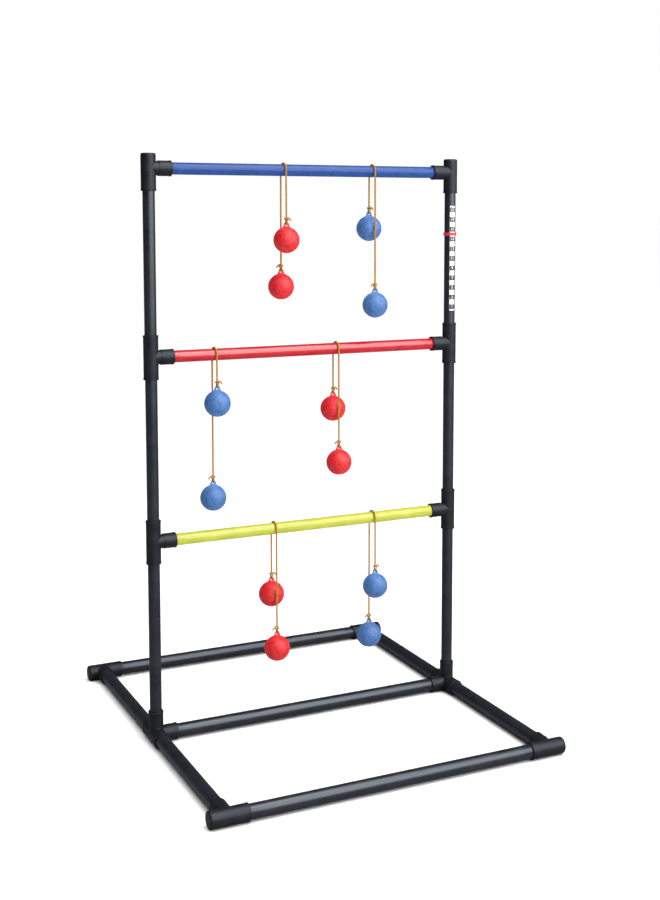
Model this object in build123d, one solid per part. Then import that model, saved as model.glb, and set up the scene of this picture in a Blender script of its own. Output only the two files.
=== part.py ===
from build123d import *

import math
import os

# Ladder toss frame with six bolas hanging on its rungs. Millimetres.
# Origin: middle of the base, on the ground. +X runs along the rungs towards the post
# with the score scale, -Y is the side that the scale faces, +Z is up.

# Overall layout
POST_SPACING = 596.0  # between the axes of the two posts
BASE_DEPTH = 732.0  # between the axes of the front and the rear rail
BOTTOM_RUNG_HEIGHT = 367.0  # rung axis above the ground
RUNG_PITCH = 328.5  # between two rung axes

# Tubes
POST_TUBE_R = 10.65
RUNG_R = 10.65
BASE_TUBE_R = 12.5
TUBE_WALL = 2.0
SOCKET_DEPTH = 20.0  # how far a tube goes into a fitting
SOCKET_PLAY = 0.05  # radial play of a tube in its socket
END_PLAY = 0.2  # gap between a tube's end and the stop in its socket

# Fittings on the posts
RUN_R = 13.1
NECK_R = 12.5
COLLAR_R = 13.5
NECK_REACH = 17.0
RUNG_COLLAR_REACH = 40.0
RUN_REACH = 39.0
TOP_REACH = 26.0  # closed upper end of a top tee above the rung axis

# Fittings of the base
BASE_COLLAR_R = 14.75
BASE_NECK_R = 13.9
BASE_NECK_REACH = 18.0
FOOT_REACH = 38.0
FOOT_POST_REACH = 43.5
CORNER_INNER_REACH = 37.0
CORNER_OUTER_REACH = 30.0

# Details of every fitting
LIP_LENGTH = 3.5
LIP_RISE = 0.4
RIM_ROUND = 0.6
DOME_ROUND = 3.5
NECK_FILLET = 1.2
END_WALL = 3.0  # of a closed arm

# Score scale and its marker ring on the right post
SCALE_TOP_BELOW_RUNG = 63.5
SCALE_LENGTH = 201.0
SCALE_WIDTH = 11.0
SCALE_GLUE = 0.03
SCALE_THICKNESS = 0.22
RING_PLAY = 0.05
RING_WALL = 1.5
RING_HEIGHT = 6.0
RING_BELOW_RUNG = 117.3

# Bolas
BALL_R = 23.75
CORD_R = 1.75
STRAND_SPREAD = 13.3  # a ball's centre, to the front or the rear of the rung's axis
# The corners of a cord's route over its rung: to the front or rear of the rung's axis
# and above it. They lie round the rung, so that the cord passes 0.3 mm clear of it.
CORD_OVER_RUNG = ((12.75, 5.28), (5.28, 12.75), (-5.28, 12.75), (-12.75, 5.28))
CORD_BEND_R = 12.5
EYE_HEIGHT = 28.0  # eye above the ball's centre
EYE_R = 2.8
LUG_TOP = 4.4  # lug above the eye's centre
LUG_TOP_WIDTH = 8.8
LUG_FOOT_WIDTH = 17.0
LUG_FOOT_HEIGHT = 19.0
LUG_THICKNESS = 3.6
LOOP_MAJOR_R = 3.87
LOOP_HEIGHT = 3.6  # centre of the cord's loop above the eye's centre
KNOT_R = 3.5
KNOT_BOTTOM = 34.2  # above the ball's centre
KNOT_TOP = 41.5

RUNG_NAMES = ("rung_bottom_yellow", "rung_middle_red", "rung_top_blue")
SIDES = {"left": -1, "right": 1}
BASE_HEIGHT = BASE_COLLAR_R + LIP_RISE
RUNG_HEIGHTS = [BOTTOM_RUNG_HEIGHT + RUNG_PITCH * i for i in range(3)]
HALF_SPACING = POST_SPACING / 2
HALF_DEPTH = BASE_DEPTH / 2

# Each bola: name, rung, distance along X, drop of the upper and of the lower ball's
# centre below the rung's axis, and the side (-1 front, 1 rear) of the upper ball.
BOLAS = (
    ("bola_top_left", 2, -47.5, 125.5, 211.0, -1),
    ("bola_top_right", 2, 131.0, 106.0, 248.5, 1),
    ("bola_middle_left", 1, -181.5, 86.5, 262.5, -1),
    ("bola_middle_right", 1, 56.5, 114.5, 212.5, 1),
    ("bola_bottom_left", 0, -69.5, 127.0, 223.0, 1),
    ("bola_bottom_right", 0, 132.5, 130.5, 234.5, -1),
)


def write(name, shape):
    export_step(shape, f"parts/{name}.step")


def rod(start, end, radius):
    """A round bar from one point to another."""
    start = Vector(start)
    axis = Vector(end) - start
    return extrude(Plane(origin=start, z_dir=axis) * Circle(radius), axis.length)


def rim(bar, end):
    """The round edge of a bar at one of its ends."""
    circles = bar.edges().filter_by(GeomType.CIRCLE)
    return min(circles, key=lambda edge: (edge.arc_center - Vector(end)).length)


def pipe(start, end, radius):
    """A tube with the common wall."""
    return rod(start, end, radius) - rod(start, end, radius - TUBE_WALL)


def collar(direction, reach, radius, tube_radius, start=0.0):
    """An open arm of a fitting, with a lip at its mouth, and the hollow inside it."""
    direction = Vector(direction)
    mouth = direction * reach
    stop = direction * (reach - SOCKET_DEPTH)
    lip = rod(direction * (reach - LIP_LENGTH), mouth, radius + LIP_RISE)
    body = rod(direction * start, mouth, radius) + fillet(rim(lip, mouth), RIM_ROUND)
    hollow = rod(stop, mouth, tube_radius + SOCKET_PLAY)
    hollow += rod((0, 0, 0), stop, tube_radius - TUBE_WALL)
    return body, hollow


def closed_arm(direction, reach, radius, tube_radius):
    """A closed arm of a fitting, rounded at its end, and the hollow inside it."""
    end = Vector(direction) * reach
    bar = rod((0, 0, 0), end, radius)
    hollow = rod((0, 0, 0), Vector(direction) * (reach - END_WALL), tube_radius - TUBE_WALL)
    return fillet(rim(bar, end), DOME_ROUND), hollow


def with_neck(body, direction, reach, radius):
    """A fitting's body with the round neck of a side arm blended into it."""
    before = body.edges()
    joined = body + rod((0, 0, 0), Vector(direction) * reach, radius)
    seam = [
        edge
        for edge in joined.edges() - before
        if edge.geom_type not in (GeomType.CIRCLE, GeomType.LINE)
    ]
    return fillet(seam, NECK_FILLET)


def post_tee(top_closed):
    """A fitting on a post, about its own centre, with the collar for the rung along +X."""
    body, hollow = collar((0, 0, -1), RUN_REACH, RUN_R, POST_TUBE_R)
    if top_closed:
        upper, upper_hollow = closed_arm((0, 0, 1), TOP_REACH, RUN_R, POST_TUBE_R)
    else:
        upper, upper_hollow = collar((0, 0, 1), RUN_REACH, RUN_R, POST_TUBE_R)
    arm, arm_hollow = collar(
        (1, 0, 0), RUNG_COLLAR_REACH, COLLAR_R, RUNG_R, start=NECK_REACH
    )
    body = with_neck(body + upper, (1, 0, 0), NECK_REACH, NECK_R)
    return body + arm - hollow - upper_hollow - arm_hollow


def base_collar(direction, reach, start=0.0):
    """A collar for a tube of the base."""
    return collar(direction, reach, BASE_COLLAR_R, BASE_TUBE_R, start)


def foot():
    """The fitting at the bottom of a post, about its own centre, the middle rail along +X."""
    front, front_hollow = base_collar((0, -1, 0), FOOT_REACH)
    rear, rear_hollow = base_collar((0, 1, 0), FOOT_REACH)
    side, side_hollow = base_collar((1, 0, 0), FOOT_REACH, start=BASE_NECK_REACH)
    up, up_hollow = collar(
        (0, 0, 1), FOOT_POST_REACH, RUN_R, POST_TUBE_R, start=BASE_NECK_REACH
    )
    body = with_neck(front + rear, (1, 0, 0), BASE_NECK_REACH, BASE_NECK_R)
    body = with_neck(body, (0, 0, 1), BASE_NECK_REACH, RUN_R)
    return body + side + up - front_hollow - rear_hollow - side_hollow - up_hollow


def corner():
    """The front left fitting of the base, about its own centre, closed towards -X."""
    body, hollow = base_collar((1, 0, 0), CORNER_INNER_REACH)
    outer, outer_hollow = closed_arm(
        (-1, 0, 0), CORNER_OUTER_REACH, BASE_COLLAR_R, BASE_TUBE_R
    )
    arm, arm_hollow = base_collar((0, 1, 0), FOOT_REACH, start=BASE_NECK_REACH)
    body = with_neck(body + outer, (0, 1, 0), BASE_NECK_REACH, BASE_NECK_R)
    return body + arm - hollow - outer_hollow - arm_hollow


def fitted_pipe(start, start_reach, end, end_reach, radius):
    """A tube between two fittings, pushed into the socket of each."""
    start = Vector(start)
    end = Vector(end)
    along = (end - start).normalized()
    first = start + along * (start_reach - SOCKET_DEPTH + END_PLAY)
    last = end - along * (end_reach - SOCKET_DEPTH + END_PLAY)
    return pipe(first, last, radius)


def make_rungs():
    for name, height in zip(RUNG_NAMES, RUNG_HEIGHTS):
        left = (-HALF_SPACING, 0, height)
        right = (HALF_SPACING, 0, height)
        write(
            name,
            fitted_pipe(left, RUNG_COLLAR_REACH, right, RUNG_COLLAR_REACH, RUNG_R),
        )


def make_posts():
    foot_fitting = foot()
    tees = {
        "lower": post_tee(top_closed=False),
        "middle": post_tee(top_closed=False),
        "upper": post_tee(top_closed=True),
    }
    for side, sign in SIDES.items():
        x = sign * HALF_SPACING
        # The right side's fittings are the left side's, turned about the post.
        turn = Rot(Z=180 if side == "right" else 0)
        write(f"foot_{side}", Pos(x, 0, BASE_HEIGHT) * turn * foot_fitting)
        below = (x, 0, BASE_HEIGHT)
        below_reach = FOOT_POST_REACH
        for (level, tee), height in zip(tees.items(), RUNG_HEIGHTS):
            here = (x, 0, height)
            tube = fitted_pipe(below, below_reach, here, RUN_REACH, POST_TUBE_R)
            write(f"tee_{level}_{side}", Pos(here) * turn * tee)
            write(f"post_{level}_{side}", tube)
            below = here
            below_reach = RUN_REACH


def make_base():
    for place, y in (("front", -HALF_DEPTH), ("middle", 0), ("rear", HALF_DEPTH)):
        reach = FOOT_REACH if place == "middle" else CORNER_INNER_REACH
        left = (-HALF_SPACING, y, BASE_HEIGHT)
        right = (HALF_SPACING, y, BASE_HEIGHT)
        rail = fitted_pipe(left, reach, right, reach, BASE_TUBE_R)
        write(f"base_rail_{place}", rail)
    corner_fitting = corner()
    for side, sign in SIDES.items():
        x = sign * HALF_SPACING
        for place, end in (("front", -1), ("rear", 1)):
            at_post = (x, 0, BASE_HEIGHT)
            at_corner = (x, end * HALF_DEPTH, BASE_HEIGHT)
            rail = fitted_pipe(at_post, FOOT_REACH, at_corner, FOOT_REACH, BASE_TUBE_R)
            # All four corners are one fitting, turned over about X, Y or both.
            over_x = Rot(X=180 if place == "rear" else 0)
            over_y = Rot(Y=180 if side == "right" else 0)
            write(f"side_rail_{place}_{side}", rail)
            write(
                f"corner_{place}_{side}",
                Pos(at_corner) * over_x * over_y * corner_fitting,
            )


def make_score_scale():
    """A thin strip glued to the front of the upper right tube."""
    inner = POST_TUBE_R + SCALE_GLUE
    outer = inner + SCALE_THICKNESS
    top = RUNG_HEIGHTS[2] - SCALE_TOP_BELOW_RUNG
    bottom = top - SCALE_LENGTH
    half_angle = SCALE_WIDTH / 2 / outer
    reach = 2 * outer
    wedge_x = reach * math.tan(half_angle)
    shell = rod((0, 0, bottom), (0, 0, top), outer)
    shell -= rod((0, 0, bottom), (0, 0, top), inner)
    wedge = extrude(
        Plane.XY.offset(bottom)
        * make_face(Polyline((0, 0), (-wedge_x, -reach), (wedge_x, -reach), close=True)),
        SCALE_LENGTH,
    )
    write("score_scale", Pos(HALF_SPACING, 0, 0) * (shell & wedge))


def make_score_marker():
    """The ring that slides up and down over the scale."""
    inner = POST_TUBE_R + SCALE_GLUE + SCALE_THICKNESS + RING_PLAY
    middle = RUNG_HEIGHTS[2] - RING_BELOW_RUNG
    low = (HALF_SPACING, 0, middle - RING_HEIGHT / 2)
    high = (HALF_SPACING, 0, middle + RING_HEIGHT / 2)
    bar = rod(low, high, inner + RING_WALL)
    bar = fillet([rim(bar, low), rim(bar, high)], RIM_ROUND)
    write("score_marker", bar - rod(low, high, inner))


def ball():
    """A ball about its own centre, with the lug and the eye that hold its cord."""
    head_r = LUG_TOP_WIDTH / 2
    head = Pos(0, EYE_HEIGHT + LUG_TOP - head_r) * Circle(head_r)
    foot_line = Line(
        (-LUG_FOOT_WIDTH / 2, LUG_FOOT_HEIGHT), (LUG_FOOT_WIDTH / 2, LUG_FOOT_HEIGHT)
    )
    outline = make_hull([head.edge(), foot_line.edge()])
    tab = extrude(Plane.XZ * outline, LUG_THICKNESS / 2, both=True)
    eye = rod((0, -LUG_THICKNESS, EYE_HEIGHT), (0, LUG_THICKNESS, EYE_HEIGHT), EYE_R)
    return Sphere(BALL_R) + tab - eye


def knot():
    """The loop of cord through a ball's eye and the knot above it."""
    loop_centre = EYE_HEIGHT + LOOP_HEIGHT
    loop = Plane(origin=(0, 0, loop_centre), z_dir=(1, 0, 0)) * Torus(LOOP_MAJOR_R, CORD_R)
    barrel = rod((0, 0, KNOT_BOTTOM), (0, 0, KNOT_TOP), KNOT_R)
    barrel = fillet(barrel.edges().filter_by(GeomType.CIRCLE), KNOT_R * 0.4)
    return barrel + loop


def cord_route(upper_side, upper_drop, lower_drop):
    """The points of a cord's route about its rung's axis: along Y and up, from ball to ball."""
    start = (upper_side * STRAND_SPREAD, KNOT_TOP - upper_drop)
    end = (-upper_side * STRAND_SPREAD, KNOT_TOP - lower_drop)
    over = [(upper_side * y, z) for y, z in CORD_OVER_RUNG]
    return [start, *over, end]


def make_bola(name, rung, x, upper_drop, lower_drop, upper_side):
    """Two balls on one cord that hangs over a rung."""
    height = RUNG_HEIGHTS[rung]
    route = [
        Vector(x, y, height + z) for y, z in cord_route(upper_side, upper_drop, lower_drop)
    ]
    path = FilletPolyline(*route, radius=CORD_BEND_R)
    section = Plane(origin=route[0], z_dir=route[1] - route[0]) * Circle(CORD_R)
    cord = sweep(section, path)
    expected = math.pi * CORD_R**2 * path.length
    print(f"{name}: cord {path.length:.1f} mm, radius {CORD_BEND_R:.2f} mm over the rung,")
    print(f"  volume {cord.volume:.0f} mm3, section times length {expected:.0f} mm3")
    write(f"{name}_cord", cord)

    knots = []
    for label, end, towards in (("upper", route[0], route[1]), ("lower", route[-1], route[-2])):
        strand = towards - end
        tilt = math.degrees(math.atan2(-strand.Y, strand.Z))
        place = Pos(end) * Rot(X=tilt) * Pos(0, 0, -KNOT_TOP)
        write(f"{name}_ball_{label}", place * ball())
        knots.append(place * knot())
    write(f"{name}_knots", Compound(children=knots))


os.makedirs("parts", exist_ok=True)
make_rungs()
make_posts()
make_base()
make_score_scale()
make_score_marker()
for bola in BOLAS:
    make_bola(*bola)
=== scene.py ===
import math

import bmesh
import bpy
from mathutils import Matrix, Vector, noise


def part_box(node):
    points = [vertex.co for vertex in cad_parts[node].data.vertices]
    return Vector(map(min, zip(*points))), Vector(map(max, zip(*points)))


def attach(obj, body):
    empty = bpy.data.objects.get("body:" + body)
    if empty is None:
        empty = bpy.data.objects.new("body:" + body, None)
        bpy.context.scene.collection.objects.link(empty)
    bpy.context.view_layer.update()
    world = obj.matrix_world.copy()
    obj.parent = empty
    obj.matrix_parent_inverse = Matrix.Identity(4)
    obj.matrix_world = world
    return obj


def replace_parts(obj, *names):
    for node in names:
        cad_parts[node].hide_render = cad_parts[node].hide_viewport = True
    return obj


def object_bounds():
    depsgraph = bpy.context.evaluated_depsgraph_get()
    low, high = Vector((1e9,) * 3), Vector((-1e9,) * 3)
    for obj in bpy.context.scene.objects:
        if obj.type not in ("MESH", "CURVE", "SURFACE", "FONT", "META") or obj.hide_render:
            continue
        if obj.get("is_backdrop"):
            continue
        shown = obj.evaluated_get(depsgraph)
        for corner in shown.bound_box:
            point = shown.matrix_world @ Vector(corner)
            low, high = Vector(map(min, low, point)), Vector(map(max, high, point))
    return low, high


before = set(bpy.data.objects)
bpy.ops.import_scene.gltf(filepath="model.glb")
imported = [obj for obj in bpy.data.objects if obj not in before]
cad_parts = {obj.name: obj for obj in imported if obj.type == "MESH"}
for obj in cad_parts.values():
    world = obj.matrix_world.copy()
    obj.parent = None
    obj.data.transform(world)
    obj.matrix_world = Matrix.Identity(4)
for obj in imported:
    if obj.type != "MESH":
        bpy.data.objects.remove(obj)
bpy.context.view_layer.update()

MM = 0.001
BLACK_TUBES = [
    f"{part}_{side}"
    for side in ("left", "right")
    for part in ("post_lower", "post_middle", "post_upper", "side_rail_front", "side_rail_rear")
] + ["base_rail_front", "base_rail_middle", "base_rail_rear"]
POST_FITTINGS = [
    f"tee_{level}_{side}" for side in ("left", "right") for level in ("lower", "middle", "upper")
]
BASE_FITTINGS = ["foot_left", "foot_right"] + [
    f"corner_{place}_{side}" for place in ("front", "rear") for side in ("left", "right")
]
RUNGS = {
    "rung_top_blue": "blue_rung",
    "rung_middle_red": "red_rung",
    "rung_bottom_yellow": "yellow_rung",
}
BLUISH = (0.82, 0.89, 1.0)  # the tint of the gloss on black plastic
TUBE_WALL = 2.0 * MM
TUBE_SIDES = 72
TUBE_RINGS = 12
BALL_R = 23.75 * MM
PEBBLE_SIZE = 3.1 * MM
PEBBLE_HEIGHT = 0.45 * MM
CORD_R = 1.75 * MM
KNOT_CORD_R = 0.82 * CORD_R  # pulled tight, and so a little thinner
STRAND_SPREAD = 13.3 * MM
KNOT_TOP = 41.5 * MM
EYE_HEIGHT = 28.0 * MM
EYE_R = 2.8 * MM

# Each bola: its rung, the drop of the upper and the lower ball's centre below the rung's
# axis, the side (-1 front, 1 rear) of the upper ball, and its colour.
BOLAS = {
    "bola_top_left": ("rung_top_blue", 125.5 * MM, 211.0 * MM, -1, "red_ball"),
    "bola_top_right": ("rung_top_blue", 106.0 * MM, 248.5 * MM, 1, "blue_ball"),
    "bola_middle_left": ("rung_middle_red", 86.5 * MM, 262.5 * MM, -1, "blue_ball"),
    "bola_middle_right": ("rung_middle_red", 114.5 * MM, 212.5 * MM, 1, "red_ball"),
    "bola_bottom_left": ("rung_bottom_yellow", 127.0 * MM, 223.0 * MM, 1, "red_ball"),
    "bola_bottom_right": ("rung_bottom_yellow", 130.5 * MM, 234.5 * MM, -1, "blue_ball"),
}
# The points of a cord's route at its rung, along Y and up from the rung's axis. The first and
# the last keep the strands straight up to the rung.
CORD_AT_RUNG = [
    (12.81 * MM, -5.3 * MM),
    (12.75 * MM, 5.28 * MM),
    (5.28 * MM, 12.75 * MM),
    (-5.28 * MM, 12.75 * MM),
    (-12.75 * MM, 5.28 * MM),
    (-12.81 * MM, -5.3 * MM),
]


# Materials ---------------------------------------------------------------------------


class Shader:
    """A material with one Principled shader, and short ways to add nodes to it."""

    def __init__(self, name, **values):
        self.material = bpy.data.materials.new(name)
        self.material.use_nodes = True
        self.tree = self.material.node_tree
        self.surface = self.tree.nodes["Principled BSDF"]
        for socket, value in values.items():
            self.surface.inputs[socket.replace("_", " ")].default_value = value

    def node(self, kind, inputs=(), **settings):
        made = self.tree.nodes.new(kind)
        for name, value in settings.items():
            setattr(made, name, value)
        for socket, value in dict(inputs).items():
            if isinstance(value, bpy.types.NodeSocket):
                self.tree.links.new(value, made.inputs[socket])
            else:
                made.inputs[socket].default_value = value
        return made

    def place(self, scale=(1, 1, 1)):
        """Object coordinates, stretched by a scale along each axis."""
        where = self.node("ShaderNodeTexCoord").outputs["Object"]
        return self.node("ShaderNodeMapping", {"Vector": where, "Scale": scale}).outputs[0]

    def noise(self, where, scale, detail=3.0, roughness=0.5):
        return self.node(
            "ShaderNodeTexNoise",
            {"Vector": where, "Scale": scale, "Detail": detail, "Roughness": roughness},
        ).outputs["Fac"]

    def ramp(self, value, low, high, from_low=0.3, from_high=0.7):
        """A value spread over a range."""
        spread = {"From Min": from_low, "From Max": from_high, "To Min": low, "To Max": high}
        return self.node("ShaderNodeMapRange", {"Value": value, **spread}).outputs[0]

    def mix(self, factor, first, second):
        """Mixes two plain colours."""
        return self.node(
            "ShaderNodeMix", {0: factor, 6: (*first, 1), 7: (*second, 1)}, data_type="RGBA"
        ).outputs[2]

    def mix_onto(self, factor, first, second):
        """Mixes a colour socket with a plain colour."""
        return self.node(
            "ShaderNodeMix", {0: factor, 6: first, 7: (*second, 1)}, data_type="RGBA"
        ).outputs[2]

    def math(self, operation, first, second=0.0):
        return self.node("ShaderNodeMath", {0: first, 1: second}, operation=operation).outputs[0]

    def bump(self, height, distance, strength=1.0, below=None):
        inputs = {"Height": height, "Distance": distance, "Strength": strength}
        if below is not None:
            inputs["Normal"] = below
        return self.node("ShaderNodeBump", inputs).outputs[0]

    def set(self, socket, value):
        """Links a value to the Principled shader."""
        self.tree.links.new(value, self.surface.inputs[socket])


def stretch(axis, along, across):
    """A texture scale for streaks that run along an axis (0, 1 or 2)."""
    return tuple(along if i == axis else across for i in range(3))


def tube_plastic(name, axis, dark, light, roughness, specular, tint=(1, 1, 1)):
    """Extruded plastic: faint draw lines along the tube, soft colour and gloss changes."""
    shader = Shader(name, Specular_IOR_Level=specular, Specular_Tint=(*tint, 1))
    lines = shader.noise(shader.place(stretch(axis, 3, 900)), 1.0, 2.0)
    clouds = shader.noise(shader.place(), 45.0, 4.0, 0.6)
    scuffs = shader.noise(shader.place(stretch(axis, 60, 700)), 1.0, 5.0, 0.7)
    shader.set("Base Color", shader.mix(shader.ramp(clouds, 0.0, 1.0), dark, light))
    worn = shader.ramp(scuffs, 0.0, 0.12, 0.58, 0.75)
    gloss = shader.ramp(clouds, roughness - 0.04, roughness + 0.05)
    shader.set("Roughness", shader.math("ADD", gloss, worn))
    shader.set("Normal", shader.bump(lines, 0.00006, 0.5))
    return shader.material


def moulded_plastic(name, seam_axis, seam_at):
    """Moulded black fitting: fine spark texture, slight mottling and a parting line."""
    shader = Shader(name, Specular_IOR_Level=0.23, Specular_Tint=(*BLUISH, 1))
    where = shader.place()
    grain = shader.noise(where, 1600.0, 2.0, 0.6)
    clouds = shader.noise(where, 70.0, 3.0)
    mottled = shader.mix(shader.ramp(clouds, 0, 1), (0.006, 0.0065, 0.008), (0.011, 0.012, 0.015))
    shader.set("Base Color", mottled)
    shader.set("Roughness", shader.ramp(clouds, 0.36, 0.48))
    texture = shader.bump(grain, 0.00012, 0.5)
    split = shader.node("ShaderNodeSeparateXYZ", {"Vector": where})
    away = shader.math("ABSOLUTE", shader.math("SUBTRACT", split.outputs[seam_axis], seam_at))
    ridge = shader.ramp(away, 1.0, 0.0, 0.0, 0.00035)
    shader.set("Normal", shader.bump(ridge, 0.00015, 0.7, texture))
    return shader.material


def pebbled_rubber(name, dark, light):
    """Soft rubber: a fine grain over the pebbles of the mesh, cloudy colour and dull patches,
    with painted shade in the grain's low grooves and in the hollows between pebbles.
    """
    shader = Shader(name, Specular_IOR_Level=0.36, Sheen_Weight=0.05, Sheen_Roughness=0.5)
    where = shader.place()
    pores = shader.node(
        "ShaderNodeTexVoronoi", {"Vector": where, "Scale": 900.0}, feature="SMOOTH_F1"
    ).outputs["Distance"]
    clouds = shader.noise(where, 90.0, 4.0, 0.6)
    colour = shader.mix(shader.ramp(clouds, 0, 1), dark, light)
    # Painted shade: the low grooves of the grain's bump are darkened in the colour.
    pit_shade = shader.ramp(pores, 0.0, 0.25, 0.35, 0.8)
    colour = shader.mix_onto(pit_shade, colour, [channel * 0.45 for channel in dark])
    # Painted shade: the hollows between the pebbles are darkened in the colour.
    hollow_shade = shader.node("ShaderNodeAttribute", attribute_name="hollow_shade").outputs["Fac"]
    shaded = shader.ramp(hollow_shade, 0.0, 0.6, 0.3, 1.0)
    shader.set("Base Color", shader.mix_onto(shaded, colour, [channel * 0.2 for channel in dark]))
    shader.set("Roughness", shader.ramp(clouds, 0.38, 0.5))
    skin = shader.bump(pores, -0.00025, 0.7)
    shader.set("Normal", shader.bump(shader.noise(where, 2600.0, 2.0), 0.00008, 0.5, skin))
    return shader.material


def braided_cord():
    """Orange-gold synthetic yarn, with fine fibres and a few soiled patches."""
    shader = Shader("cord_yarn", Specular_IOR_Level=0.12)
    where = shader.place()
    fibres = shader.noise(where, 5200.0, 3.0, 0.7)
    dirt = shader.noise(where, 160.0, 4.0, 0.6)
    light = shader.ramp(fibres, 0, 1, 0.35, 0.65)
    colour = shader.mix(light, (0.27, 0.115, 0.008), (0.46, 0.23, 0.025))
    soiled = shader.ramp(dirt, 0.0, 0.3, 0.5, 0.8)
    shader.set("Base Color", shader.mix_onto(soiled, colour, (0.19, 0.08, 0.008)))
    shader.set("Roughness", shader.ramp(fibres, 0.5, 0.75))
    shader.set("Normal", shader.bump(fibres, 0.00015, 0.6))
    return shader.material


def printed_film(name, ink, rub):
    """A printed cell of the scale, with slightly uneven ink."""
    shader = Shader(name, Specular_IOR_Level=0.5)
    where = shader.place()
    clouds = shader.noise(where, 400.0, 4.0, 0.6)
    shader.set("Base Color", shader.mix(shader.ramp(clouds, 0, 1, 0.5, 0.8), ink, rub))
    shader.set("Roughness", shader.ramp(clouds, 0.28, 0.4))
    shader.set("Normal", shader.bump(clouds, 0.00003, 0.4))
    return shader.material


def marker_plastic():
    """Red moulded plastic with a light sheen."""
    shader = Shader("marker_red", Specular_IOR_Level=0.5, Coat_Weight=0.2)
    where = shader.place()
    clouds = shader.noise(where, 260.0, 3.0)
    colour = shader.mix(shader.ramp(clouds, 0, 1), (0.42, 0.008, 0.02), (0.58, 0.02, 0.035))
    shader.set("Base Color", colour)
    shader.set("Roughness", shader.ramp(clouds, 0.3, 0.42))
    shader.set("Normal", shader.bump(shader.noise(where, 2200.0), 0.00006, 0.5))
    return shader.material


# Mesh building -----------------------------------------------------------------------


def add_piece(name, verts, faces, body, slot_name, *materials):
    """A smooth-shaded mesh piece that rides on a body."""
    mesh = bpy.data.meshes.new(name)
    mesh.from_pydata([tuple(v) for v in verts], [], faces)
    for material in materials:
        mesh.materials.append(material)
    mesh.shade_smooth()
    piece = bpy.data.objects.new(name, mesh)
    bpy.context.scene.collection.objects.link(piece)
    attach(piece, body)
    return piece


def add_to(store, made):
    """Adds points and faces to a store of points and faces."""
    verts, faces = store
    first = len(verts)
    verts += made[0]
    faces += [tuple(first + v for v in face) for face in made[1]]


def ring_faces(rings, size, closed=False):
    """Quads between rings of points, and from the last ring to the first if closed."""
    faces = []
    last = rings if closed else rings - 1
    for i in range(last):
        here, there = i * size, (i + 1) % rings * size
        for j in range(size):
            k = (j + 1) % size
            faces.append((here + j, here + k, there + k, there + j))
    return faces


def lathe(outline, centre, axis, segments):
    """Turns a closed outline of (distance along the axis, radius) about an axis."""
    across = [i for i in range(3) if i != axis]
    verts = []
    for along, radius in outline:
        for j in range(segments):
            turn = 2 * math.pi * j / segments
            point = Vector(centre)
            point[axis] += along
            point[across[0]] += radius * math.cos(turn)
            point[across[1]] += radius * math.sin(turn)
            verts.append(point)
    return verts, ring_faces(len(outline), segments, closed=True)


def sharpen(piece, angle=math.radians(40)):
    """Keeps edges sharper than an angle crisp."""
    mesh = piece.data
    work = bmesh.new()
    work.from_mesh(mesh)
    bmesh.ops.recalc_face_normals(work, faces=work.faces)
    for edge in work.edges:
        edge.smooth = edge.calc_face_angle(0) < angle
    work.to_mesh(mesh)
    work.free()


def make_tube(node, slot_name, material):
    """A hollow tube with softened ends in place of a CAD tube."""
    low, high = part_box(node)
    size = high - low
    axis = max(range(3), key=lambda i: size[i])
    half = size[axis] / 2
    radius = size[(axis + 1) % 3] / 2
    inner = radius - TUBE_WALL
    soft, bevel = 0.3 * MM, 0.1 * MM
    outline = [
        (-half, inner),
        (-half, radius - soft),
        (-half + bevel, radius - bevel),
        (-half + soft, radius),
    ]
    outline += [(-half + 2 * half * i / TUBE_RINGS, radius) for i in range(1, TUBE_RINGS)]
    outline += [
        (half - soft, radius),
        (half - bevel, radius - bevel),
        (half, radius - soft),
        (half, inner),
    ]
    verts, faces = lathe(outline, (low + high) / 2, axis, TUBE_SIDES)
    piece = add_piece(node + "_tube", verts, faces, "frame", slot_name, material)
    sharpen(piece)
    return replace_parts(piece, node)


# Cords -------------------------------------------------------------------------------


def smooth_line(points, resolution=24):
    """The points of a smooth NURBS line that has these control points."""
    curve = bpy.data.curves.new("route", "CURVE")
    curve.dimensions = "3D"
    curve.resolution_u = resolution
    spline = curve.splines.new("NURBS")
    spline.points.add(len(points) - 1)
    for place, point in zip(spline.points, points):
        place.co = (*point, 1)
    spline.order_u = 3
    spline.use_endpoint_u = True
    holder = bpy.data.objects.new("route", curve)
    mesh = bpy.data.meshes.new_from_object(holder)
    line = [v.co.copy() for v in mesh.vertices]
    bpy.data.meshes.remove(mesh)
    bpy.data.curves.remove(curve)
    return line


def evenly(line, step):
    """The line again, with points a step apart."""
    lengths = [0.0]
    for a, b in zip(line, line[1:]):
        lengths.append(lengths[-1] + (b - a).length)
    count = max(2, round(lengths[-1] / step))
    spaced = []
    i = 0
    for k in range(count + 1):
        at = lengths[-1] * k / count
        while i < len(line) - 2 and lengths[i + 1] < at:
            i += 1
        run = max(lengths[i + 1] - lengths[i], 1e-9)
        spaced.append(line[i].lerp(line[i + 1], min(1.0, (at - lengths[i]) / run)))
    return spaced


def frames_along(line):
    """A direction and two steady cross directions at each point of a line."""
    frames = []
    side = Vector((1, 0, 0))
    for i in range(len(line)):
        ahead = line[min(i + 1, len(line) - 1)] - line[max(i - 1, 0)]
        ahead.normalize()
        side = side - ahead * side.dot(ahead)
        if side.length < 1e-4:
            side = ahead.orthogonal()
        side.normalize()
        frames.append((ahead, side.copy(), ahead.cross(side)))
    return frames


# A braid, as shares of its radius: a yarn's half width and half thickness, how far its middle
# lies from the cord's, how much it rises and dips, the core's radius, and one turn's length.
YARN_WIDE, YARN_THIN = 0.42, 0.15
YARN_MIDDLE, YARN_LIFT = 0.76, 0.09
CORE = 0.68
BRAID_PITCH = 6.0
BRAID_STEP = 0.55 * MM
YARN_LEAN = (0.79, 0.61)  # how much a yarn runs along the cord, and how much round it


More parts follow.
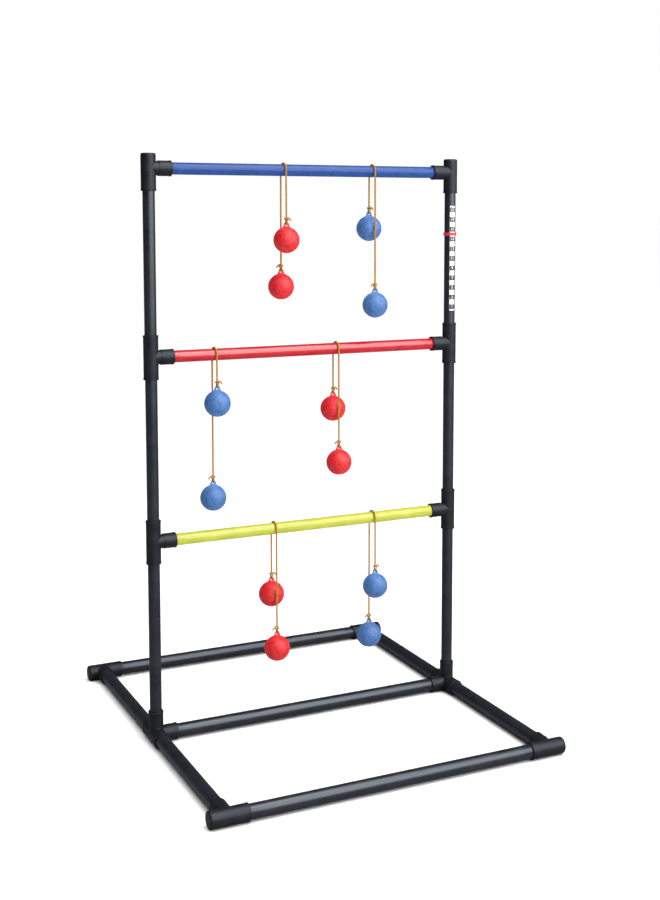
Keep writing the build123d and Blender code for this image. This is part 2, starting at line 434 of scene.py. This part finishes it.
def braid(line, radius, sides=6, core_sides=8):
    """Eight flat yarns, four each way, plaited over and under round a core."""
    line = evenly(line, BRAID_STEP)
    frames = frames_along(line)
    verts, faces = [], []
    pitch = BRAID_PITCH * radius
    step = (line[1] - line[0]).length
    wide, thin = YARN_WIDE * radius, YARN_THIN * radius
    middle, lift = YARN_MIDDLE * radius, YARN_LIFT * radius
    along, round_it = YARN_LEAN
    for yarn in range(8):
        way = 1 if yarn < 4 else -1
        first = len(verts)
        for i, (point, (ahead, side, up)) in enumerate(zip(line, frames)):
            turn = way * 2 * math.pi * i * step / pitch + (yarn % 4) * math.pi / 2
            over = math.cos(4 * turn + (yarn % 4) * math.pi)
            out = side * math.cos(turn) + up * math.sin(turn)
            slant = (ahead * along + ahead.cross(out) * (way * round_it)).normalized()
            flat = out.cross(slant)
            centre = point + out * (middle + way * lift * over)
            for k in range(sides):
                a = 2 * math.pi * k / sides
                verts.append(centre + flat * (wide * math.cos(a)) + out * (thin * math.sin(a)))
        rows = len(line)
        faces += [tuple(first + v for v in face) for face in ring_faces(rows, sides)]
        faces.append(tuple(range(first + sides - 1, first - 1, -1)))
        faces.append(tuple(range(first + (rows - 1) * sides, first + rows * sides)))
    core = len(verts)
    for point, (_, side, up) in zip(line, frames):
        for k in range(core_sides):
            a = 2 * math.pi * k / core_sides
            verts.append(point + (side * math.cos(a) + up * math.sin(a)) * (CORE * radius))
    faces += [tuple(core + v for v in face) for face in ring_faces(len(line), core_sides)]
    return verts, faces


def bola_route(name):
    """The points of a cord's route, from the knot of the upper ball to that of the lower."""
    rung, upper_drop, lower_drop, upper_side, _ = BOLAS[name]
    low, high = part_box(rung)
    height = (low.z + high.z) / 2
    low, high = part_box(name + "_cord")
    x = (low.x + high.x) / 2
    upper = Vector((x, upper_side * STRAND_SPREAD, height + KNOT_TOP - upper_drop))
    lower = Vector((x, -upper_side * STRAND_SPREAD, height + KNOT_TOP - lower_drop))
    at_rung = [Vector((x, upper_side * y, height + z)) for y, z in CORD_AT_RUNG]
    return [upper, *at_rung, lower]


# Balls, knots ------------------------------------------------------------------------

# The lug: its half width and half thickness at heights above the ball's centre.
LUG_SHAPE = [
    (17.0 * MM, 9.5 * MM, 4.4 * MM),
    (20.0 * MM, 8.6 * MM, 3.6 * MM),
    (23.0 * MM, 7.2 * MM, 2.9 * MM),
    (26.0 * MM, 5.9 * MM, 2.4 * MM),
    (29.0 * MM, 5.0 * MM, 2.1 * MM),
    (31.0 * MM, 3.9 * MM, 1.9 * MM),
    (32.2 * MM, 2.0 * MM, 1.4 * MM),
]
LUG_SIDES = 32
EYE_REACH = 8.0 * MM
SKIN_DETAIL = 0.5 * MM
SEAM_HALF = 0.8 * MM
SEAM_HEIGHT = 0.15 * MM


def stacked_solid(name, rings):
    """A closed solid through rings of points, to join to or cut from another."""
    size = len(rings[0])
    faces = ring_faces(len(rings), size)
    faces.append(tuple(range(size - 1, -1, -1)))
    faces.append(tuple(range((len(rings) - 1) * size, len(rings) * size)))
    mesh = bpy.data.meshes.new(name)
    mesh.from_pydata([point for ring in rings for point in ring], [], faces)
    work = bmesh.new()
    work.from_mesh(mesh)
    bmesh.ops.recalc_face_normals(work, faces=work.faces)
    work.to_mesh(mesh)
    work.free()
    solid = bpy.data.objects.new(name, mesh)
    bpy.context.scene.collection.objects.link(solid)
    return solid


def ball_mesh(name):
    """A ball about its own centre with a drop-shaped lug and an eye, as one skin."""
    work = bmesh.new()
    bmesh.ops.create_icosphere(work, subdivisions=5, radius=BALL_R)
    mesh = bpy.data.meshes.new(name)
    work.to_mesh(mesh)
    work.free()
    body = bpy.data.objects.new(name, mesh)
    bpy.context.scene.collection.objects.link(body)

    turns = [2 * math.pi * j / LUG_SIDES for j in range(LUG_SIDES)]
    lug_rings = [
        [(half_width * math.cos(a), half_thick * math.sin(a), height) for a in turns]
        for height, half_width, half_thick in LUG_SHAPE
    ]
    eye_rings = [
        [(EYE_R * math.cos(a), y, EYE_HEIGHT + EYE_R * math.sin(a)) for a in turns]
        for y in (-EYE_REACH, EYE_REACH)
    ]
    lug = stacked_solid("lug", lug_rings)
    eye = stacked_solid("eye", eye_rings)
    for operation, tool in (("UNION", lug), ("DIFFERENCE", eye)):
        cut = body.modifiers.new(operation, "BOOLEAN")
        cut.operation = operation
        cut.object = tool
    remesh = body.modifiers.new("skin", "REMESH")
    remesh.mode = "VOXEL"
    remesh.voxel_size = SKIN_DETAIL
    relax = body.modifiers.new("relax", "SMOOTH")
    relax.factor = 0.5
    relax.iterations = 6
    bpy.context.view_layer.update()
    depsgraph = bpy.context.evaluated_depsgraph_get()
    skin = bpy.data.meshes.new_from_object(body.evaluated_get(depsgraph))
    for spare in (body, lug, eye):
        bpy.data.objects.remove(spare)

    # The pebbled skin, smooth at the lug, and the mould line: a low ridge round the ball, in
    # the plane of the lug. How deep each point lies in the hollows between pebbles is kept, to
    # paint shade into the hollows in the colour.
    hollow_shade = skin.attributes.new("hollow_shade", "FLOAT", "POINT")
    for v, low in zip(skin.vertices, hollow_shade.data):
        out = v.co.normalized()
        near, far = noise.voronoi(v.co / PEBBLE_SIZE)[0][:2]
        pebble = min(1.0, (far - near) / 0.5)
        ridge = max(0.0, 1 - abs(v.co.y) / SEAM_HALF)
        plain = min(1.0, max(0.0, (BALL_R * 0.93 - v.co.z) / (2 * MM)))
        rise = PEBBLE_HEIGHT * (pebble * (2 - pebble) - 1) * (1 - ridge) + SEAM_HEIGHT * ridge
        v.co += out * (rise * plain)
        low.value = (1 - pebble) * (1 - ridge) * plain
    skin.shade_smooth()
    skin.name = name
    return skin


# The points of a knot, in millimetres from the ball's centre: down from the cord, through the
# eye, twice round the cord and out as a loose end.
KNOT_POINTS = [
    (0.0, 0.0, 43.0),
    (0.0, -1.2, 39.0),
    (0.0, -3.3, 34.5),
    (0.0, -4.2, 30.0),
    (0.0, -0.5, 27.6),
    (0.0, 4.1, 29.6),
    (0.2, 3.5, 34.5),
    (-2.7, 2.6, 36.8),
    (-3.5, -1.8, 37.0),
    (0.4, -4.0, 37.3),
    (3.6, -0.9, 38.2),
    (1.8, 3.2, 39.2),
    (-2.4, 2.8, 39.8),
    (-3.9, -0.8, 39.8),
    (-6.2, -2.1, 39.0),
    (-8.2, -2.0, 37.2),
    (-9.2, -1.4, 34.8),
]


def make_bola(name, ball_skins, yarn):
    """A braided cord over its rung, with a ball and a knot at each end."""
    route = bola_route(name)
    ball_slot = BOLAS[name][4]
    line = smooth_line(route)
    verts, faces = braid(line, CORD_R)
    cord = add_piece(name + "_cord_braid", verts, faces, name, "orange_cord", yarn)
    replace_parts(cord, name + "_cord")

    knot_verts, knot_faces = [], []
    for label, end, towards in (("upper", route[0], route[1]), ("lower", route[-1], route[-2])):
        strand = towards - end
        tilt = math.atan2(-strand.y, strand.z)
        hang = Matrix.Translation(end) @ Matrix.Rotation(tilt, 4, "X")
        hang = hang @ Matrix.Translation((0, 0, -KNOT_TOP))
        if label == "upper":
            hang = hang @ Matrix.Rotation(math.pi, 4, "Z")
        ball = bpy.data.objects.new(f"{name}_ball_{label}_rubber", ball_skins[ball_slot])
        bpy.context.scene.collection.objects.link(ball)
        ball.matrix_world = hang
        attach(ball, name)
        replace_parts(ball, f"{name}_ball_{label}")
        tied = smooth_line([hang @ (Vector(p) * MM) for p in KNOT_POINTS], 12)
        add_to((knot_verts, knot_faces), braid(tied, KNOT_CORD_R))
    knots = add_piece(name + "_knots_tied", knot_verts, knot_faces, name, "orange_cord", yarn)
    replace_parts(knots, name + "_knots")


# Score scale and marker --------------------------------------------------------------

CELLS = 21
BORDER = 2.5 * MM
# How far the film, its black squares and its numbers lie below the strip's outer face.
FILM_DEPTH = 0.08 * MM
SQUARE_DEPTH = 0.045 * MM
DIGIT_DEPTH = 0.01 * MM
DIGIT_SIZE = 7.4 * MM
DIGIT_CUT = 0.6 * MM
FILM_THICKNESS = 0.22 * MM
SQUARE_MARGIN = 0.25 * MM


def wrapped(points, centre, radius):
    """Flat points (across, height, lift) laid on the front of a post."""
    placed = []
    for across, height, lift in points:
        turn = across / radius
        reach = radius + lift
        placed.append(
            (centre.x + reach * math.sin(turn), centre.y - reach * math.cos(turn), height)
        )
    return placed


def curved_patch(centre, radius, half_width, bottom, top, lift, across=12):
    """A thin printed patch round the front of a post: its points and faces."""
    points = []
    for height in (bottom, top):
        for i in range(across + 1):
            points.append((half_width * (2 * i / across - 1), height, lift))
    row = across + 1
    faces = [(i, i + 1, row + i + 1, row + i) for i in range(across)]
    return wrapped(points, centre, radius), faces


def digits(number, centre, radius, height, size, lift):
    """The outline of a number, laid on the front of a post."""
    text = bpy.data.curves.new("digits", "FONT")
    text.body = str(number)
    text.size = size
    text.align_x = "CENTER"
    text.align_y = "CENTER"
    text.resolution_u = 3
    holder = bpy.data.objects.new("digits", text)
    mesh = bpy.data.meshes.new_from_object(holder)
    work = bmesh.new()
    work.from_mesh(mesh)
    # Upright cuts let the number bend round the post.
    for i in range(-8, 9):
        whole = [*work.verts, *work.edges, *work.faces]
        at = (i * DIGIT_CUT, 0, 0)
        bmesh.ops.bisect_plane(work, geom=whole, plane_co=at, plane_no=(1, 0, 0))
    bmesh.ops.triangulate(work, faces=work.faces)
    work.verts.index_update()
    points = [(v.co.x, v.co.y + height, lift) for v in work.verts]
    faces = [tuple(v.index for v in face.verts) for face in work.faces]
    work.free()
    bpy.data.meshes.remove(mesh)
    bpy.data.curves.remove(text)
    return wrapped(points, centre, radius), faces


def make_scale(white, black):
    """The printed strip: squares in turn black and white, numbered upwards."""
    low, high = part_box("score_scale")
    post_low, post_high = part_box("post_upper_right")
    centre = (post_low + post_high) / 2
    outer = centre.y - low.y
    half = math.asin((high.x - low.x) / 2 / outer) * outer
    across = 16
    points = []
    for height in (low.z, high.z):
        for lift in (-FILM_THICKNESS, -FILM_DEPTH):
            for i in range(across + 1):
                points.append((half * (2 * i / across - 1), height, lift))
    row = across + 1
    faces = []
    for i in range(across):
        faces.append((row + i, row + i + 1, 3 * row + i + 1, 3 * row + i))
        faces.append((i, 2 * row + i, 2 * row + i + 1, i + 1))
        faces.append((i, i + 1, row + i + 1, row + i))
        faces.append((2 * row + i, 3 * row + i, 3 * row + i + 1, 2 * row + i + 1))
    for i in (0, across):
        faces.append((i, row + i, 3 * row + i, 2 * row + i))
    film = add_piece(
        "score_scale_film", wrapped(points, centre, outer), faces, "frame", "scale_strip", white
    )
    sharpen(film)
    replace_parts(film, "score_scale")

    pitch = (high.z - low.z - 2 * BORDER) / CELLS
    squares = {"black": ([], []), "white": ([], [])}
    for cell in range(CELLS):
        bottom = low.z + BORDER + cell * pitch
        dark = cell % 2 == 0
        if dark:
            reach = half - SQUARE_MARGIN
            square = curved_patch(centre, outer, reach, bottom, bottom + pitch, -SQUARE_DEPTH)
            add_to(squares["black"], square)
        ink = "white" if dark else "black"
        number = digits(cell + 1, centre, outer, bottom + pitch / 2, DIGIT_SIZE, -DIGIT_DEPTH)
        add_to(squares[ink], number)
    for ink, material in (("black", black), ("white", white)):
        verts, faces = squares[ink]
        add_piece(f"score_scale_{ink}_print", verts, faces, "frame", "scale_strip", material)


def make_marker(material):
    """The sliding ring, with rounded rims and a shallow groove round its middle."""
    low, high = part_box("score_marker")
    centre = (low + high) / 2
    outer = (high.x - low.x) / 2
    inner = outer - 1.5 * MM
    half = (high.z - low.z) / 2
    soft, bevel = 0.7 * MM, 0.2 * MM
    outline = [
        (-half, inner + bevel),
        (-half + bevel, inner),
        (half - bevel, inner),
        (half, inner + bevel),
    ]
    for i in range(7):
        a = math.pi / 2 * i / 6
        outline.append((half - soft + soft * math.cos(a), outer - soft + soft * math.sin(a)))
    edge, bottom, depth = 0.7 * MM, 0.35 * MM, 0.25 * MM
    outline += [
        (edge, outer),
        (bottom, outer - depth),
        (-bottom, outer - depth),
        (-edge, outer),
    ]
    for i in range(7):
        a = math.pi / 2 * (1 - i / 6)
        outline.append((-half + soft - soft * math.cos(a), outer - soft + soft * math.sin(a)))
    verts, faces = lathe(outline, centre, 2, 96)
    piece = add_piece("score_marker_ring", verts, faces, "marker", "red_marker", material)
    sharpen(piece, math.radians(50))
    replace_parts(piece, "score_marker")


# The object --------------------------------------------------------------------------

black, worn_black = (0.007, 0.008, 0.011), (0.013, 0.015, 0.02)
black_along = [
    tube_plastic(f"black_tube_{'xyz'[axis]}", axis, black, worn_black, 0.3, 0.52, BLUISH)
    for axis in range(3)
]
for node in BLACK_TUBES:
    low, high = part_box(node)
    size = high - low
    long_axis = max(range(3), key=lambda i: size[i])
    make_tube(node, "black_tube", black_along[long_axis])

# Each rung's darker and lighter colour, and how strongly it reflects.
rung_looks = {
    "blue_rung": ((0.014, 0.046, 0.18), (0.019, 0.058, 0.22), 0.18),
    "red_rung": ((0.34, 0.003, 0.010), (0.40, 0.006, 0.016), 0.6),
    "yellow_rung": ((0.35, 0.37, 0.04), (0.41, 0.43, 0.055), 0.36),
}
for node, slot_name in RUNGS.items():
    dark, light, specular = rung_looks[slot_name]
    make_tube(node, slot_name, tube_plastic(slot_name, 0, dark, light, 0.24, specular))

post_moulding = moulded_plastic("post_fitting", 1, 0.0)
base_low, base_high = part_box("base_rail_front")
base_moulding = moulded_plastic("base_fitting", 2, (base_low.z + base_high.z) / 2)
for nodes, material in ((POST_FITTINGS, post_moulding), (BASE_FITTINGS, base_moulding)):
    for node in nodes:
        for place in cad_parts[node].material_slots:
            place.material = material

film_white = printed_film("film_white", (0.80, 0.80, 0.78), (0.68, 0.68, 0.66))
film_black = printed_film("film_black", (0.012, 0.012, 0.014), (0.04, 0.04, 0.04))
make_scale(film_white, film_black)
make_marker(marker_plastic())

rubbers = {
    "red_ball": pebbled_rubber("red_rubber", (0.64, 0.005, 0.011), (0.80, 0.012, 0.020)),
    "blue_ball": pebbled_rubber("blue_rubber", (0.048, 0.145, 0.40), (0.074, 0.20, 0.49)),
}
skins = {}
for slot_name, rubber in rubbers.items():
    skins[slot_name] = skins["red_ball"].copy() if skins else ball_mesh("ball_skin")
    skins[slot_name].materials.clear()
    skins[slot_name].materials.append(rubber)
yarn = braided_cord()
for name in BOLAS:
    make_bola(name, skins, yarn)


# Floor, light and camera -------------------------------------------------------------


def make_floor():
    """A white floor that shows only dimly in glossy surfaces, as in a large dark studio."""
    mesh = bpy.data.meshes.new("floor")
    reach = 40.0
    mesh.from_pydata(
        [(-reach, -reach, 0), (reach, -reach, 0), (reach, reach, 0), (-reach, reach, 0)],
        [],
        [(0, 1, 2, 3)],
    )
    floor = bpy.data.objects.new("floor", mesh)
    bpy.context.scene.collection.objects.link(floor)
    shader = Shader("floor_paint", Roughness=0.8, Specular_IOR_Level=0.1)
    grain = shader.noise(shader.place(), 3.0, 2.0)
    white = shader.mix(grain, (0.96, 0.96, 0.96), (0.98, 0.98, 0.98))
    mirrored = shader.node("ShaderNodeLightPath").outputs["Is Glossy Ray"]
    shader.set("Base Color", shader.mix_onto(mirrored, white, (0.17, 0.17, 0.18)))
    mesh.materials.append(shader.material)
    floor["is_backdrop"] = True


def make_softbox(name, place, target, size, power, gloss_only=False):
    light = bpy.data.lights.new(name, "AREA")
    light.shape = "RECTANGLE"
    light.size, light.size_y = size
    light.energy = power
    lamp = bpy.data.objects.new(name, light)
    lamp.location = place
    towards = Vector(target) - Vector(place)
    lamp.rotation_euler = towards.to_track_quat("-Z", "Y").to_euler()
    lamp.visible_diffuse = not gloss_only
    bpy.context.scene.collection.objects.link(lamp)


def make_skylight(direction, strength, angle):
    """A broad, soft light from far away, which lights the whole floor evenly."""
    light = bpy.data.lights.new("skylight", "SUN")
    light.energy = strength
    light.angle = angle
    lamp = bpy.data.objects.new("skylight", light)
    lamp.rotation_euler = Vector(direction).to_track_quat("-Z", "Y").to_euler()
    lamp.visible_glossy = False
    bpy.context.scene.collection.objects.link(lamp)


def make_world():
    """A white backdrop in a dim grey room."""
    world = bpy.data.worlds.new("studio")
    world.use_nodes = True
    tree = world.node_tree
    room = tree.nodes["Background"]
    room.inputs["Color"].default_value = (0.92, 0.96, 1.0, 1)
    room.inputs["Strength"].default_value = 0.07
    backdrop = tree.nodes.new("ShaderNodeBackground")
    backdrop.inputs["Color"].default_value = (1, 1, 1, 1)
    backdrop.inputs["Strength"].default_value = 1.0
    seen = tree.nodes.new("ShaderNodeLightPath")
    either = tree.nodes.new("ShaderNodeMixShader")
    tree.links.new(seen.outputs["Is Camera Ray"], either.inputs[0])
    tree.links.new(room.outputs[0], either.inputs[1])
    tree.links.new(backdrop.outputs[0], either.inputs[2])
    tree.links.new(either.outputs[0], tree.nodes["World Output"].inputs["Surface"])
    bpy.context.scene.world = world


def make_camera():
    """The camera stands to the front left, just below the top rung, looking slightly down."""
    camera = bpy.data.cameras.new("camera")
    camera.sensor_width = 36.0
    camera.lens = 53.89
    camera.shift_x = -0.0788
    camera.shift_y = -0.1253
    holder = bpy.data.objects.new("camera", camera)
    turn, dip, lean = math.radians(27.25), math.radians(-5.72), math.radians(0.25)
    holder.matrix_world = (
        Matrix.Translation((-0.9798, -2.2767, 0.9673))
        @ Matrix.Rotation(-turn, 4, "Z")
        @ Matrix.Rotation(math.pi / 2 + dip, 4, "X")
        @ Matrix.Rotation(lean, 4, "Z")
    )
    bpy.context.scene.collection.objects.link(holder)
    bpy.context.scene.camera = holder


make_floor()
make_world()
make_skylight((0.02, -0.04, -1.0), 3.2, math.radians(80))
make_softbox("front_right", (1.25, -2.9, 1.9), (0, 0, 0.55), (2.0, 2.8), 115)
make_softbox("front_top", (0.5, -1.3, 3.1), (0, 0, 0.2), (2.0, 1.2), 42)
make_softbox("top_gleam", (0.4, -1.0, 3.3), (0, 0, 0.2), (3.0, 2.4), 85, gloss_only=True)
make_softbox("front_gleam", (-0.35, -3.3, 1.9), (0, 0, 0.55), (1.5, 2.8), 50, gloss_only=True)
make_softbox("right_gleam", (2.75, -1.75, 1.9), (0, 0, 0.55), (1.8, 2.8), 80, gloss_only=True)
make_camera()
bpy.context.scene.view_settings.view_transform = "Standard"

low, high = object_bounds()
